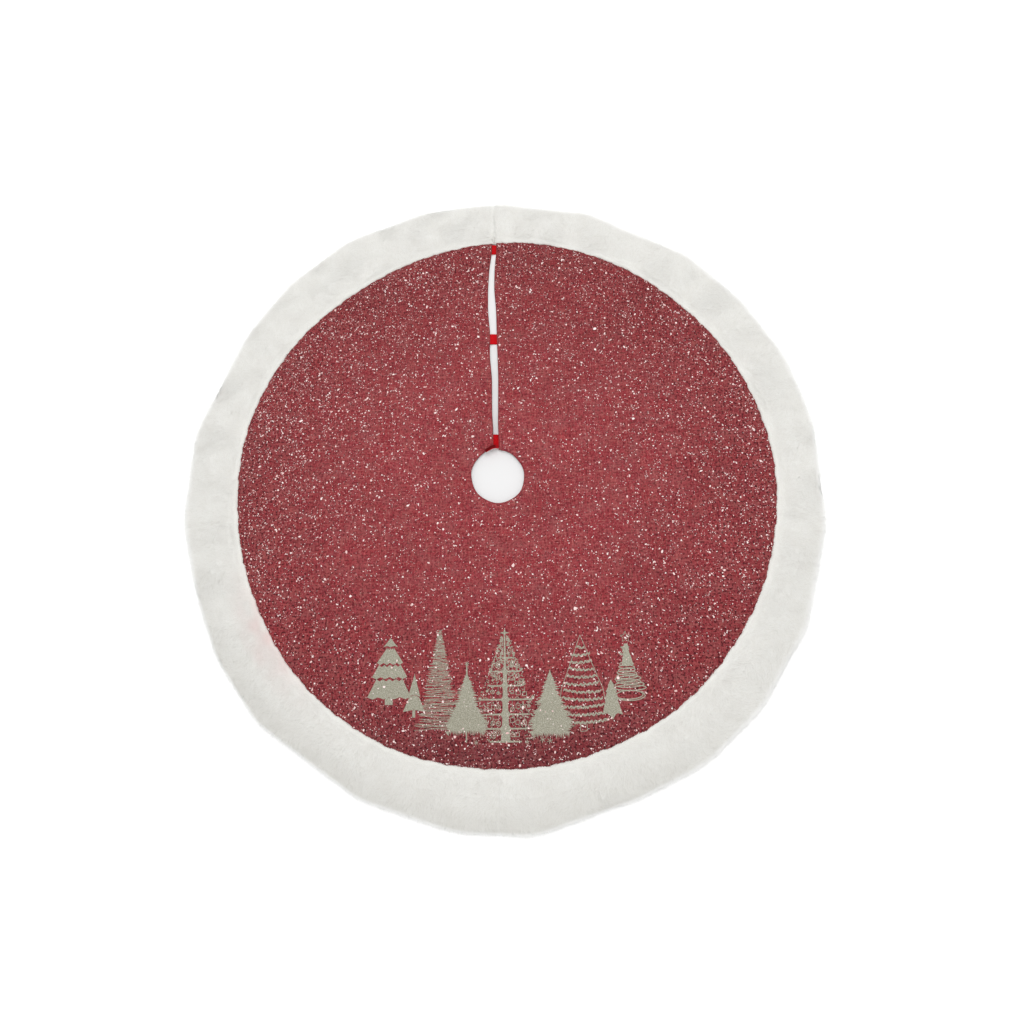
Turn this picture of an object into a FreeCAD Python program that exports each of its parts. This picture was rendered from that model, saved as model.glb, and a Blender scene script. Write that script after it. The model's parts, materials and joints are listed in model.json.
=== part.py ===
import FreeCAD, Part
import math
import os

# Round tree skirt, laid flat on the floor. Millimetres. The origin is on the floor on the trunk hole's
# axis, +Z is up, and the slit runs from the hole to the hem along +Y.

# Plan
HOLE_RADIUS = 50.8
FACE_RADIUS = 510.0
SLIT_LEFT = -11.0
SLIT_RIGHT = 2.0
BORDER_GAP = 3.0
LEFT_SEAM_BEARING = 188.5
RIGHT_SEAM_BEARING = 349.5

# The hem is made of nearly straight runs between eased corners: bearing from +X in degrees, radius
HEM_CORNERS = [
    (8, 600), (21, 602), (35, 602), (49, 604), (71, 605), (89, 609), (103, 617), (120, 622),
    (134, 618), (148, 609), (170, 610), (187, 608), (200, 601), (213, 608), (226, 612), (247, 612),
    (263, 619), (275, 622), (292, 609), (304, 616), (316, 614), (331, 609), (349, 602),
]
CORNER_SHARE = 0.42

# Layers, from the floor up
TAPE_THICKNESS = 1.2
TAPE_BOTTOM = 0.1
LINING_BOTTOM = 2.6
LINING_THICKNESS = 0.7
INTERLINING_THICKNESS = 2.2
FACE_THICKNESS = 1.0

# Fur border
FUR_HEIGHT = 18.0
FUR_TOP_ROUND = 7.0
FUR_FOOT_ROUND = 3.0
HEM_TURN_UNDER = 12.0

# Hook-and-loop closures: one tab sewn under the left edge, one patch sewn under the right edge
TAB_WIDTH = 22.5
TAB_SEWN_END = -26.0
TAB_FREE_END = 32.0
TAB_DIP_START = -8.0
TAB_DIP_END = 2.0
PATCH_START = 6.0
PATCH_END = 30.0
TAB_CENTRES = {"inner": 72.5, "middle": 287.5, "outer": 496.0}

# Blank care label, sewn under the left half beside the slit
LABEL_WIDTH = 28.0
LABEL_LENGTH = 50.0
LABEL_THICKNESS = 0.4
LABEL_RIGHT = -34.0
LABEL_CENTRE_Y = 420.0

REACH = 900.0
UP = FreeCAD.Vector(0, 0, 1)
LINING_TOP = LINING_BOTTOM + LINING_THICKNESS
INTERLINING_TOP = LINING_TOP + INTERLINING_THICKNESS


def point(x, y, z=0.0):
    return FreeCAD.Vector(x, y, z)


def on_bearing(degrees, radius):
    angle = math.radians(degrees)
    return point(radius * math.cos(angle), radius * math.sin(angle))


def hem_face(inset, z):
    """The hem's outline, moved in by inset: straight runs joined by tangent arcs."""
    corners = [on_bearing(bearing, radius - inset) for bearing, radius in HEM_CORNERS]
    count = len(corners)
    runs = [(corners[(i + 1) % count] - corners[i]).Length for i in range(count)]
    arcs = []
    for i in range(count):
        back = (corners[i - 1] - corners[i]).normalize()
        ahead = (corners[(i + 1) % count] - corners[i]).normalize()
        reach = CORNER_SHARE * min(runs[i - 1], runs[i])
        half_turn = (math.pi - back.getAngle(ahead)) / 2
        radius = reach / math.tan(half_turn)
        inward = (back + ahead).normalize()
        middle = corners[i] + inward * (radius / math.cos(half_turn) - radius)
        arcs.append(Part.Arc(corners[i] + back * reach, middle, corners[i] + ahead * reach))
    edges = []
    for i in range(count):
        edges.append(arcs[i].toShape())
        edges.append(Part.LineSegment(arcs[i].EndPoint, arcs[(i + 1) % count].StartPoint).toShape())
    face = Part.Face(Part.Wire(edges))
    face.translate(point(0, 0, z))
    return face


def disc(radius, bottom, height):
    return Part.makeCylinder(radius, height, point(0, 0, bottom), UP)


def half_space(side):
    """Everything left (-1) or right (+1) of the fold line x = 0."""
    start = -REACH if side < 0 else 0.0
    return Part.makeBox(REACH, 2 * REACH, 2 * REACH, point(start, -REACH, -REACH))


def slit(left, right):
    return Part.makeBox(right - left, REACH, 2 * REACH, point(left, 0, -REACH))


def sector(start, end):
    """A wedge of the plan between two bearings less than 180 degrees apart."""
    bearings = [start, (start + end) / 2, end]
    corners = [point(0, 0, -REACH)]
    corners += [on_bearing(b, REACH) + point(0, 0, -REACH) for b in bearings]
    corners.append(corners[0])
    return Part.Face(Part.makePolygon(corners)).extrude(UP * (2 * REACH))


def halves(whole, name):
    """Cuts a layer at the slit and at the fold line."""
    layer = whole.cut(disc(HOLE_RADIUS, -REACH, 2 * REACH)).cut(slit(SLIT_LEFT, SLIT_RIGHT))
    return {
        f"{name}_left": layer.common(half_space(-1)),
        f"{name}_right": layer.common(half_space(+1)),
    }


def fabric_layers():
    lining = hem_face(HEM_TURN_UNDER, LINING_BOTTOM).extrude(UP * LINING_THICKNESS)
    interlining = disc(FACE_RADIUS, LINING_TOP, INTERLINING_THICKNESS)
    face = disc(FACE_RADIUS, INTERLINING_TOP, FACE_THICKNESS)
    layers = halves(lining, "lining")
    layers.update(halves(interlining, "interlining"))
    layers.update(halves(face, "face_panel"))
    return layers


def fur_border():
    """A crowned ring outside the face, whose outer edge turns down to the floor beside the lining."""
    ring = hem_face(0.0, 0.0).extrude(UP * FUR_HEIGHT).cut(disc(FACE_RADIUS, -REACH, 2 * REACH))
    top = [e for e in ring.Edges if min(v.Z for v in e.Vertexes) > FUR_HEIGHT - 0.01]
    ring = ring.makeFillet(FUR_TOP_ROUND, top)
    foot = [
        e for e in ring.Edges
        if max(v.Z for v in e.Vertexes) < 0.01 and e.BoundBox.DiagonalLength < 2 * FACE_RADIUS
    ]
    ring = ring.makeFillet(FUR_FOOT_ROUND, foot)
    ring = ring.cut(hem_face(HEM_TURN_UNDER, -1.0).extrude(UP * (1.0 + LINING_TOP)))
    ring = ring.cut(slit(-BORDER_GAP / 2, BORDER_GAP / 2))
    return {
        "fur_back_left": ring.common(sector(90, LEFT_SEAM_BEARING)),
        "fur_front_left": ring.common(sector(LEFT_SEAM_BEARING, 270)),
        "fur_front_right": ring.common(sector(270, RIGHT_SEAM_BEARING)),
        "fur_back_right": ring.common(sector(RIGHT_SEAM_BEARING, 450)),
    }


def tab(centre_y):
    """A tape that hangs from the left lining, dips in the slit and passes under the right patch."""
    low, high = TAPE_BOTTOM, LINING_BOTTOM - TAPE_THICKNESS
    side = [
        (TAB_SEWN_END, high), (TAB_DIP_START, high), (TAB_DIP_END, low), (TAB_FREE_END, low),
        (TAB_FREE_END, low + TAPE_THICKNESS), (TAB_DIP_END, low + TAPE_THICKNESS),
        (TAB_DIP_START, high + TAPE_THICKNESS), (TAB_SEWN_END, high + TAPE_THICKNESS),
    ]
    start_y = centre_y - TAB_WIDTH / 2
    corners = [point(x, start_y, z) for x, z in side]
    profile = Part.Face(Part.makePolygon(corners + corners[:1]))
    return profile.extrude(point(0, TAB_WIDTH, 0))


def patch(centre_y):
    bottom = TAPE_BOTTOM + TAPE_THICKNESS
    corner = point(PATCH_START, centre_y - TAB_WIDTH / 2, bottom)
    return Part.makeBox(PATCH_END - PATCH_START, TAB_WIDTH, LINING_BOTTOM - bottom, corner)


def care_label():
    corner = point(
        LABEL_RIGHT - LABEL_WIDTH, LABEL_CENTRE_Y - LABEL_LENGTH / 2, LINING_BOTTOM - LABEL_THICKNESS
    )
    return Part.makeBox(LABEL_WIDTH, LABEL_LENGTH, LABEL_THICKNESS, corner)


def build():
    nodes = fabric_layers()
    nodes.update(fur_border())
    for place, centre_y in TAB_CENTRES.items():
        nodes[f"closure_tab_{place}"] = tab(centre_y)
        nodes[f"closure_patch_{place}"] = patch(centre_y)
    nodes["care_label"] = care_label()
    return nodes


os.makedirs("parts", exist_ok=True)
for name, shape in build().items():
    solids = shape.Solids
    body = solids[0] if len(solids) == 1 else Part.makeCompound(solids)
    body.exportStep(f"parts/{name}.step")
    box = body.BoundBox
    print(
        f"{name:22s} solids {len(solids)} valid {body.isValid()} volume {body.Volume / 1000:9.1f} cm3"
        f"  x {box.XMin:7.1f} {box.XMax:7.1f}  y {box.YMin:7.1f} {box.YMax:7.1f}  z {box.ZMin:5.1f} {box.ZMax:5.1f}"
    )
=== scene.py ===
import json
import math

import bpy
import numpy as np
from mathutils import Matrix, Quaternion, Vector
from mathutils.geometry import delaunay_2d_cdt


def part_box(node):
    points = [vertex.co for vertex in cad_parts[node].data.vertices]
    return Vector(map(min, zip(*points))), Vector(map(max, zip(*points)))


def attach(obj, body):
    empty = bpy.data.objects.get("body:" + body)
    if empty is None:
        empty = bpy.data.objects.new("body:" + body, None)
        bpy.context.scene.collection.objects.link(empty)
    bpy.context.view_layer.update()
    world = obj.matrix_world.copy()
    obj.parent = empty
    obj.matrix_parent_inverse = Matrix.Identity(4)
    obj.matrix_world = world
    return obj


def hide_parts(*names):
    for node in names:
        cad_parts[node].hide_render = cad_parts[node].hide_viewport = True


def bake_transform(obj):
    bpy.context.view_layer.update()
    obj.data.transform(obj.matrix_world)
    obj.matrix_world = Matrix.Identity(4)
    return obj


# A round tree skirt lying flat. Metres throughout; +Y runs along the slit to the back hem, and the printed
# trees are towards -Y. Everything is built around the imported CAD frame.

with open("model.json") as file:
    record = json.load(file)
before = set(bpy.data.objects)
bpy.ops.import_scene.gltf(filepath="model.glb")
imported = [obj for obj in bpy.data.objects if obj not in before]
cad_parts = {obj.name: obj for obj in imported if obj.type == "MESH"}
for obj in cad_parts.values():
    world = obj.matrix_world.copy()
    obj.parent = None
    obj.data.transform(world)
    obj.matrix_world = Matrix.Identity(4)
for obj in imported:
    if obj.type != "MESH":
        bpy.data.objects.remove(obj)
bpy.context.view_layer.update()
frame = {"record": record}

MM = 0.001
TURN = 2 * math.pi

# Places taken from the frame
MOUNTS = {m["name"]: m for m in frame["record"]["mounts"]}
HOLE_RADIUS = MOUNTS["trunk_hole"]["dims"]["r_mm"] * MM
FACE_RADIUS = -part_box("face_panel_left")[0].x
FACE_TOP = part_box("face_panel_left")[1].z
LINING_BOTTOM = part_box("lining_left")[0].z
FUR_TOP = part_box("fur_back_left")[1].z
TAB_Y = {
    place: sum(corner.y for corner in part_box(f"closure_tab_{place}")) / 2
    for place in ("outer", "middle", "inner")
}
TAPE_LOW, TAPE_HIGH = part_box("closure_tab_middle")

# The fold runs along Y in a narrow band inside the slit's gap, so that neither edge of the slit lies in it.
# The border has no slit at the front.
FOLD_START, FOLD_END = -6.3 * MM, -2.3 * MM

# The hem's corners: bearing from +X in degrees, radius in millimetres, as in the CAD model
HEM_CORNERS = [
    (8, 600), (21, 602), (35, 602), (49, 604), (71, 605), (89, 609), (103, 617), (120, 622), (134, 618),
    (148, 609), (170, 610), (187, 608), (200, 601), (213, 608), (226, 612), (247, 612), (263, 619),
    (275, 622), (292, 609), (304, 616), (316, 614), (331, 609), (349, 602),
]
SEAMS = {
    "back_left": (90, 188.5), "front_left": (188.5, 270),
    "front_right": (270, 349.5), "back_right": (349.5, 450),
}
BORDER_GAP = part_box("fur_back_right")[0].x

# The slit's edges: y, then x of the left edge and of the right edge, in millimetres
SLIT_SHAPE = [
    (60, -7, 3.2), (85, -7, 3), (100, -7, 2), (125, -8.8, 2.5), (200, -8.5, 3.6), (250, -12.5, 2.6),
    (300, -11.5, 1.4), (350, -15.6, 0.8), (400, -15.2, -2.8), (450, -12, -1.6), (485, -7, 2.2),
    (520, -6, 3),
]


# ---------------------------------------------------------------- meshes

def make_mesh(name, points, polygons, material, uv=None, values=None):
    """A mesh from numpy arrays: polygons is a list of index arrays, uv and values are per point."""
    mesh = bpy.data.meshes.new(name)
    polygons = [np.asarray(p, np.int32) for p in polygons if len(p)]
    corner_index = np.concatenate([p.ravel() for p in polygons])
    sizes = np.concatenate([np.full(len(p), p.shape[1], np.int32) for p in polygons])
    starts = np.concatenate([[0], np.cumsum(sizes)[:-1]]).astype(np.int32)
    mesh.vertices.add(len(points))
    mesh.vertices.foreach_set("co", np.asarray(points, np.float32).ravel())
    mesh.loops.add(len(corner_index))
    mesh.loops.foreach_set("vertex_index", corner_index)
    mesh.polygons.add(len(sizes))
    mesh.polygons.foreach_set("loop_start", starts)
    mesh.polygons.foreach_set("use_smooth", np.ones(len(sizes), bool))
    mesh.update(calc_edges=True)
    if uv is not None:
        layer = mesh.uv_layers.new(name="flat")
        layer.data.foreach_set("uv", np.asarray(uv, np.float32)[corner_index].ravel())
    for key, value in (values or {}).items():
        attribute = mesh.attributes.new(key, "FLOAT", "POINT")
        attribute.data.foreach_set("value", np.asarray(value, np.float32))
    mesh.validate()
    mesh.materials.append(material)
    made = bpy.data.objects.new(name, mesh)
    bpy.context.scene.collection.objects.link(made)
    return made


def grid_quads(rows, columns, first=0):
    """Quads over a rows x columns grid of points."""
    i, j = np.meshgrid(np.arange(rows - 1), np.arange(columns - 1), indexing="ij")
    a = first + i * columns + j
    return np.stack([a, a + 1, a + columns + 1, a + columns], -1).reshape(-1, 4)


def ripple(x, y, wavelength, seed, waves=8):
    """Smooth random relief of about one wavelength, mostly between -1 and 1."""
    draw = np.random.default_rng(seed)
    total = np.zeros(np.broadcast(x, y).shape)
    for _ in range(waves):
        heading, phase = draw.uniform(0, TURN, 2)
        size = wavelength * draw.uniform(0.7, 1.4)
        total += np.sin(TURN * (x * math.cos(heading) + y * math.sin(heading)) / size + phase)
    return total / math.sqrt(waves)


def tube_faces(rings, sides):
    """Quads round a tube made of rings of points, and its two end caps."""
    i, j = np.meshgrid(np.arange(rings - 1), np.arange(sides), indexing="ij")
    a, b = i * sides + j, i * sides + (j + 1) % sides
    quads = np.stack([a, b, b + sides, a + sides], -1).reshape(-1, 4)
    cap = np.arange(sides)
    return quads, np.stack([cap[::-1], cap + (rings - 1) * sides])


def smooth_step(value, low, high):
    """0 below low, 1 above high, eased between them."""
    t = np.clip((value - low) / (high - low), 0, 1)
    return t * t * (3 - 2 * t)


def bell(value, width):
    """1 at zero, dying away over width on both sides."""
    return np.exp(-((value / width) ** 2))


def round_over(distance, reach, power=2.0):
    """0 at an edge, rising like a quarter round to 1 at reach from it."""
    return np.sqrt(np.clip(1 - (1 - np.clip(distance / reach, 0, 1)) ** power, 0, 1))


def beside_line(x, y, start, end):
    """Where points lie beside a line: how far along it, as a share of its length, and how far off it."""
    (ax, ay), (bx, by) = start, end
    length = math.hypot(bx - ax, by - ay)
    along = ((x - ax) * (bx - ax) + (y - ay) * (by - ay)) / length ** 2
    return along, ((x - ax) * (by - ay) - (y - ay) * (bx - ax)) / length


# ---------------------------------------------------------------- the skirt's outline and relief

def hem_table():
    """The hem's radius at each tenth of a degree: straight runs between the corners, then eased."""
    bearing = np.radians(np.arange(3600) / 10)
    corners = [(math.radians(b), r * MM) for b, r in HEM_CORNERS]
    corners.append((corners[0][0] + TURN, corners[0][1]))
    radius = np.zeros(3600)
    for (b0, r0), (b1, r1) in zip(corners[:-1], corners[1:]):
        turned = (bearing - b0) % TURN
        here = turned < b1 - b0
        x0, y0, x1, y1 = r0, 0.0, r1 * math.cos(b1 - b0), r1 * math.sin(b1 - b0)
        cross = x0 * y1 - x1 * y0
        radius[here] = cross / (np.cos(turned[here]) * (y1 - y0) - np.sin(turned[here]) * (x1 - x0))
    reach = 60
    weights = bell(np.arange(-reach, reach + 1), 22.0)
    wrapped = np.concatenate([radius[-reach:], radius, radius[:reach]])
    return np.convolve(wrapped, weights / weights.sum(), "valid")


HEM = hem_table()


def hem_radius(bearing):
    """The hem's radius at any bearing."""
    place = np.degrees(bearing) % 360 * 10
    return np.interp(place, np.arange(3601), np.append(HEM, HEM[0]))


SLIT_Y = np.arange(40, 641) * MM


def eased(column):
    """One of the slit's edges at every millimetre of SLIT_Y, with its corners eased."""
    places = np.array([row[0] for row in SLIT_SHAPE]) * MM
    edge = np.interp(SLIT_Y, places, [row[column] * MM for row in SLIT_SHAPE])
    reach = 21
    window = np.hanning(2 * reach + 1)
    padded = np.concatenate([np.full(reach, edge[0]), edge, np.full(reach, edge[-1])])
    return np.convolve(padded, window / window.sum(), "valid")


SLIT_LEFT, SLIT_RIGHT = eased(1), eased(2)


def slit_edges(y):
    """The x of the slit's left and right edges."""
    return np.interp(y, SLIT_Y, SLIT_LEFT), np.interp(y, SLIT_Y, SLIT_RIGHT)


def hole_radius(bearing):
    """The trunk hole is a little oval, and its corner with the slit's left edge is worn round."""
    from_long = bearing - math.radians(300)
    oval = 0.3 + 1.2 * np.cos(from_long) + 1.5 * np.cos(2 * from_long) + 0.4 * np.sin(7 * bearing)
    oval = oval - 0.9 * np.cos(bearing) ** 2
    from_corner = np.degrees(bearing) % 360 - 103
    return HOLE_RADIUS + (oval + 3.6 * bell(from_corner, 13)) * MM


# The seam's wander and its stitch puckers: waves round the skirt, size in mm, a phase in degrees
SEAM_WAVES = [
    (1, 5.5, 313), (2, 3.7, 207), (4, 2.2, 290), (5, 1.9, 73), (13, 0.5, 20),
    (57, 0.5, 80), (93, 0.45, 11), (151, 0.35, 5), (262, 0.3, 40),
]


def seam_radius(bearing):
    """Where the border's seam runs: nearly a circle, a little off it where the cloth was eased."""
    wander = 0
    for waves, size, peak in SEAM_WAVES:
        wander = wander + size * np.cos(waves * bearing - math.radians(peak))
    return FACE_RADIUS + (wander - 3.8) * MM


def edge_distance(x, y):
    """How far a point of the cloth is from the slit's or the hole's edge."""
    bearing = np.arctan2(y, x)
    from_hole = np.hypot(x, y) - hole_radius(bearing)
    left, right = slit_edges(y)
    from_slit = np.where(y > 0, np.maximum(left - x, x - right), 1.0)
    return np.clip(np.minimum(from_hole, from_slit), 0, 1)


# Creases left from folding: two ends, height in mm, half width in mm
CREASES = [
    ((-470, -70), (-385, -95), 1.0, 9), ((-240, 130), (-150, 60), 0.9, 8),
    ((-330, -40), (-345, -190), 0.8, 9), ((255, -70), (420, -190), 0.9, 8),
    ((330, 60), (400, -20), 0.8, 9), ((240, 110), (310, 260), 0.7, 10),
    ((-250, 330), (-300, 220), 0.7, 9), ((-80, -90), (-110, -260), 0.7, 8),
    ((-28, -80), (-38, -300), 0.8, 7), ((30, -70), (48, -280), 0.7, 8),
    ((90, -60), (150, -260), 0.6, 8), ((-440, 130), (-330, 190), 0.6, 9),
    ((130, 330), (90, 420), 0.7, 9), ((400, 170), (450, 60), 0.6, 8), ((-60, 120), (-95, 300), 0.6, 9),
]


def crease_relief(x, y):
    """The height of the creases: each is a wavy ridge with a shallow valley on one side."""
    total = np.zeros(np.broadcast(x, y).shape)
    for start, end, height, width in CREASES:
        t, across = beside_line(x, y, np.array(start) * MM, np.array(end) * MM)
        across = across + 4 * MM * np.sin(5 * t + height * 9)
        width = width * MM
        fade = smooth_step(t, -0.25, 0.3) * smooth_step(-t, -1.25, -0.7)
        total += height * MM * fade * (bell(across, width) - 0.45 * bell(across - 1.8 * width, 1.4 * width))
    return total


# Where the two flaps' corners lift beside the hole: x, y, half width across and along the slit, height
LIFTED_CORNERS = [(-22, 84, 26, 34, 4.8), (20, 78, 22, 30, 3.0)]


def cloth_relief(x, y):
    """How far the cloth lies above or below a flat sheet."""
    radius, bearing = np.hypot(x, y), np.arctan2(y, x)
    relief = 0.55 * MM * ripple(x, y, 0.24, 11) + 0.34 * MM * ripple(x, y, 0.075, 12)
    relief += 0.15 * MM * ripple(x, y, 0.034, 13) + 0.05 * MM * ripple(x, y, 0.015, 14)
    folds = np.sin(26 * bearing + 1.5 * np.sin(3 * bearing)) * bell(radius - 0.17, 0.11)
    relief += 0.28 * MM * folds * smooth_step(-y, -0.05, 0.12)
    relief += crease_relief(x, y)
    for corner in LIFTED_CORNERS:
        at_x, at_y, wide, long, height = (v * MM for v in corner)
        relief += height * bell(x - at_x, wide) * bell(y - at_y, long)
    return relief * (1 - 0.75 * smooth_step(radius, FACE_RADIUS - 45 * MM, FACE_RADIUS))


EDGE_ROUND = 2.6 * MM
EDGE_MIDDLE = LINING_BOTTOM + 1.7 * MM
PILLOW = 0.9 * MM


def face_height(x, y):
    """The printed face's top, with the turned edge rolling down at the slit and the hole."""
    top = FACE_TOP + PILLOW + cloth_relief(x, y)
    from_seam = seam_radius(np.arctan2(y, x)) - np.hypot(x, y)
    top = top - smooth_step(-from_seam, -9 * MM, 1 * MM) * 1.9 * MM
    return EDGE_MIDDLE + (top - EDGE_MIDDLE) * round_over(edge_distance(x, y), EDGE_ROUND)


def lining_height(x, y):
    """The lining, which meets the face half way up at the slit and the hole."""
    bottom = LINING_BOTTOM + 0.25 * MM + 0.2 * MM * ripple(x, y, 0.09, 21)
    return EDGE_MIDDLE + (bottom - EDGE_MIDDLE) * round_over(edge_distance(x, y), EDGE_ROUND)


# Where the cloth's points crowd together: how far from its edges, and at which x for the fold
EDGE_STEPS = np.array([0, 0.12, 0.45, 1.0, 1.8, 2.8, 4.2]) * MM
FOLD_COLUMNS = np.concatenate([[10, 5, 1.5], np.linspace(-2.0, -6.6, 16), [-12, -18]]) * MM
SLIT_OFFSET = 8 * MM    # about how far the slit's edges stand from x = 0


def slit_edges_at(radius):
    """The slit's edges where they cross these radii."""
    return slit_edges(np.sqrt(np.clip(radius ** 2 - SLIT_OFFSET ** 2, 0, None)))


def column_bearings(radius, steps, share):
    """The bearing of every column of a ring_grid whose points have these radii."""
    cuts = np.cumsum([len(steps), len(share), len(FOLD_COLUMNS), len(share)])
    at_right, _, at_fold, _, at_left = np.split(radius, cuts, axis=1)
    right = slit_edges_at(at_right)[1]
    left = slit_edges_at(at_left)[0]
    first = np.arccos((right + steps) / at_right)
    last = np.arccos((left - steps[::-1]) / at_left) - TURN
    fold = np.arcsin(FOLD_COLUMNS / at_fold) - math.pi / 2
    before = first[:, -1:] + (fold[:, :1] - first[:, -1:]) * share
    after = fold[:, -1:] + (last[:, :1] - fold[:, -1:]) * share
    return np.concatenate([first, before, fold, after, last], 1)


def ring_grid(outer, spacing, inset=0.0):
    """Points over the ring between the hole and outer(bearing), opened at the slit: columns run clockwise
    from the slit's right edge to its left edge, rows run outwards. Both crowd together at the edges, and
    the columns do so at the fold too."""
    steps = EDGE_STEPS + inset
    share = np.linspace(0, 1, int(math.pi * FACE_RADIUS / spacing))[1:-1]
    rows = np.linspace(0, 1, int((FACE_RADIUS - HOLE_RADIUS) / spacing))[1:, None]
    plain = np.concatenate([HOLE_RADIUS + steps[:, None], HOLE_RADIUS + (FACE_RADIUS - HOLE_RADIUS) * rows])
    columns = 2 * len(steps) + 2 * len(share) + len(FOLD_COLUMNS)
    guess = column_bearings(np.repeat(plain, columns, axis=1), steps, share)
    near = hole_radius(guess[:len(steps)]) + steps[:, None]
    guess = guess[len(steps):]
    far = (hole_radius(guess) + steps[-1]) * (1 - rows) + outer(guess) * rows
    radius = np.concatenate([near, far])
    bearing = column_bearings(radius, steps, share)
    return radius * np.cos(bearing), radius * np.sin(bearing)


def cloth_sheet(name, outer, height, spacing, material, up, inset=0.0, let_out=0.0):
    """One layer of cloth. Its pattern is let out at the fold, where the outermost layer stretches."""
    x, y = ring_grid(outer, spacing, inset)
    rows, columns = x.shape
    points = np.stack([x, y, height(x, y)], -1).reshape(-1, 3)
    quads = grid_quads(rows, columns)
    if not up:
        quads = quads[:, ::-1]
    flat = points[:, :2].copy()
    flat[:, 0] += let_out * smooth_step(flat[:, 0], FOLD_START, FOLD_END)
    return make_mesh(name, points, [quads], material, uv=flat)


# ---------------------------------------------------------------- materials

class Shader:
    """A material's node tree, with short calls for the nodes that repeat."""

    def __init__(self, name):
        self.material = bpy.data.materials.new(name)
        self.material.use_nodes = True
        self.nodes = self.material.node_tree.nodes
        self.links = self.material.node_tree.links
        self.surface = next(n for n in self.nodes if n.type == "BSDF_PRINCIPLED")

    def add(self, kind, settings=None, **inputs):
        node = self.nodes.new("ShaderNode" + kind)
        for key, value in (settings or {}).items():
            setattr(node, key, value)
        for key, value in inputs.items():
            self.put(node.inputs[int(key[1:]) if key[0] == "_" else key], value)
        return node

    def put(self, socket, value):
        if isinstance(value, bpy.types.NodeSocket):
            self.links.new(value, socket)
        else:
            socket.default_value = value

    def flat(self):
        """Coordinates on the flat cloth, in metres, that stay with it when it bends."""
        return self.add("UVMap", {"uv_map": "flat"}).outputs[0]

    def flat_xy(self):
        return self.add("SeparateXYZ", Vector=self.flat()).outputs[:2]

    def from_axis(self):
        """The square of the distance from the trunk hole's axis."""
        x, y = self.flat_xy()
        return self.math("ADD", self.times(x, x), self.times(y, y))

    def value(self, name):
        """A value that make_mesh gave to each point."""
        return self.add("Attribute", {"attribute_name": name}).outputs["Fac"]

    def scaled(self, x, y, shift=(0, 0)):
        return self.add("Mapping", Vector=self.flat(), Scale=(x, y, 1), Location=(*shift, 0)).outputs[0]

    def noise(self, x, y=None, detail=2.0, shift=(0, 0), rough=0.5):
        place = self.scaled(x, y or x, shift)
        return self.add(
            "TexNoise", {"noise_dimensions": "2D"}, Vector=place, Scale=1.0, Detail=detail, Roughness=rough
        ).outputs["Fac"]

    def cells(self, size, **others):
        place = self.scaled(size, size)
        return self.add("TexVoronoi", {"voronoi_dimensions": "2D"}, Vector=place, Scale=1.0, **others)

    def math(self, operation, a, b=0.0, c=0.0):
        return self.add("Math", {"operation": operation}, _0=a, _1=b, _2=c).outputs[0]

    def times(self, a, b):
        return self.math("MULTIPLY", a, b)

    def ramp(self, value, low, high, out_low=0.0, out_high=1.0):
        return self.add("MapRange", None, Value=value, **{
            "From Min": low, "From Max": high, "To Min": out_low, "To Max": out_high}).outputs[0]

    def mix(self, factor, a, b, blend="MIX"):
        node = self.add("Mix", {"data_type": "RGBA", "blend_type": blend})
        self.put(node.inputs[0], factor)
        self.put(node.inputs[6], a)
        self.put(node.inputs[7], b)
        return node.outputs[2]

    def over(self, colour, mask, strength, paint):
        """The colour with paint laid over it where the mask is 1."""
        return self.mix(self.times(mask, strength), colour, paint)

    def bump(self, height, distance, strength=1.0, normal=None):
        node = self.add("Bump", Height=height, Distance=distance, Strength=strength)
        if normal is not None:
            self.put(node.inputs["Normal"], normal)
        return node.outputs[0]

    def finish(self, colour, roughness, normal=None, **others):
        self.put(self.surface.inputs["Base Color"], colour)
        self.put(self.surface.inputs["Roughness"], roughness)
        if normal is not None:
            self.put(self.surface.inputs["Normal"], normal)
        for key, value in others.items():
            self.put(self.surface.inputs[key.replace("_", " ")], value)
        return self.material


STUDIO_LIGHT = 1.09     # the studio shows a surface this much brighter than its own colour


def linear(red, green, blue):
    """The surface colour that shows as these 0-255 values in the studio."""
    def one(v):
        v /= 255
        return (v / 12.92 if v <= 0.04045 else ((v + 0.055) / 1.055) ** 2.4) / STUDIO_LIGHT
    return (one(red), one(green), one(blue), 1)


THREAD_PITCH = 1.3 * MM


def woven_height(shader, pitch):
    """Plain weave: threads over and under, as a height from 0 to 1 and the over-under mask."""
    place = shader.flat_xy()
    waves = []
    for axis, (along, across) in enumerate(((240, 90), (90, 240))):
        wobble = shader.times(shader.noise(along, across, 1.0, (3 * axis, 7)), 5.0)
        waves.append(shader.math("MULTIPLY_ADD", place[axis], TURN / pitch / 2, wobble))
    warp, weft = (shader.math("ABSOLUTE", shader.math("SINE", wave)) for wave in waves)
    over = shader.times(*(shader.math("COSINE", wave) for wave in waves))
    mask = shader.ramp(over, -0.25, 0.25)
    height = shader.add("Mix", {"data_type": "FLOAT"}, _0=mask, _2=warp, _3=weft).outputs[0]
    return height, mask


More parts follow.
